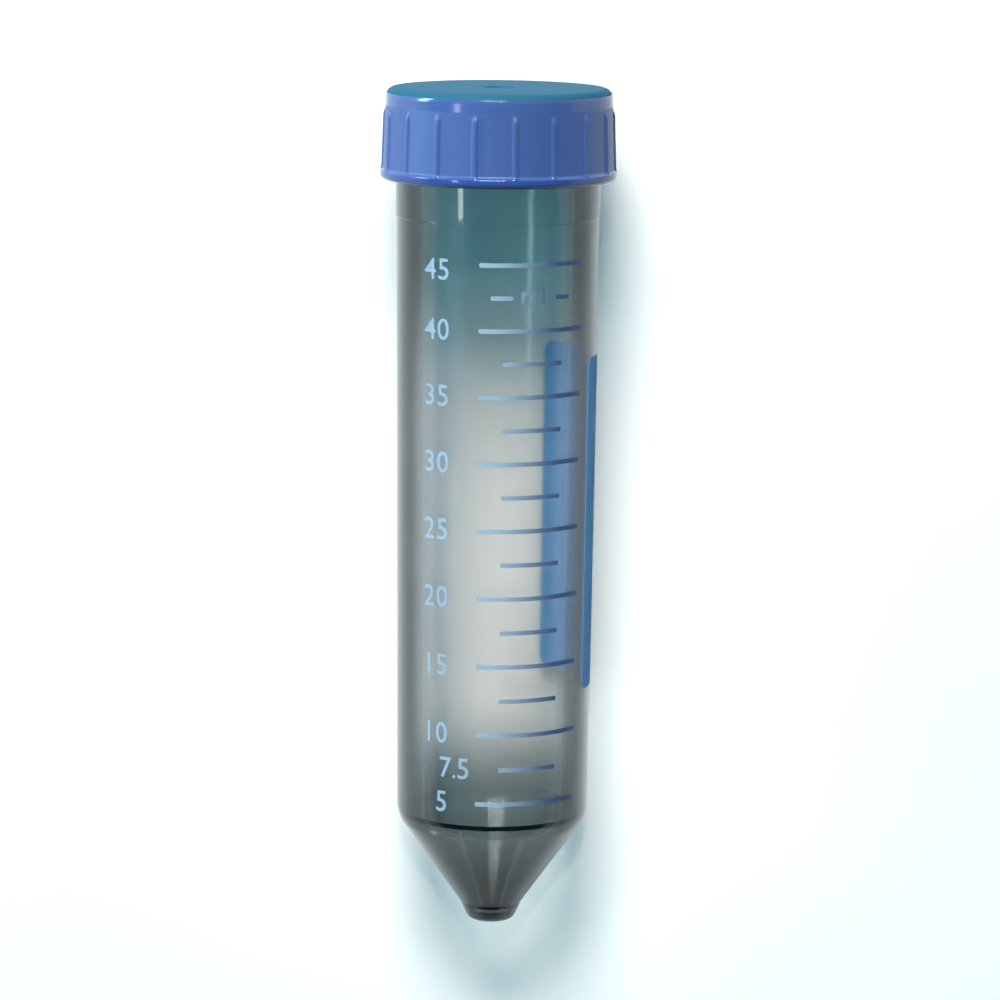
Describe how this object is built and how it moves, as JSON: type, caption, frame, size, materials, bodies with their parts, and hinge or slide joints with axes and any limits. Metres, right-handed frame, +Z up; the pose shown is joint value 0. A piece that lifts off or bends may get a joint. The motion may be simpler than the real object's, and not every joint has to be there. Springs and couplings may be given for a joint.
{
  "type": "conical centrifuge tube",
  "caption": "Clear conical-bottom laboratory tube with a printed volume scale, a writing patch and a blue ribbed screw cap, lying closed on its side.",
  "frame": {"origin": "centre of the bounding box's bottom face, on the surface that the tube lies on", "axes": "+Z up; +Y along the tube from its tip to its cap (the axis climbs 1.9 degrees toward the cap, because the cap is wider); the printed scale faces +Z and +X is to the right of it"},
  "size_m": [0.0332, 0.1196, 0.0331],
  "materials": {
    "clear_plastic": "clear, faintly smoky moulded polypropylene with a smooth gloss",
    "cap_plastic": "mid-blue moulded polyethylene, soft gloss",
    "scale_ink": "screen-printed blue ink, satin",
    "patch_ink": "printed light blue writing area, matte"
  },
  "bodies": {
    "tube": {"tube": "clear_plastic", "scale_marks": "scale_ink", "scale_numbers": "scale_ink", "writing_patch": "patch_ink"},
    "cap": {"cap": "cap_plastic"}
  },
  "joints": [
    {"name": "cap_lift", "type": "slide", "parent": "tube", "child": "cap", "axis": [0, 0.9995, 0.033], "range_m": [0, 0.04]}
  ]
}
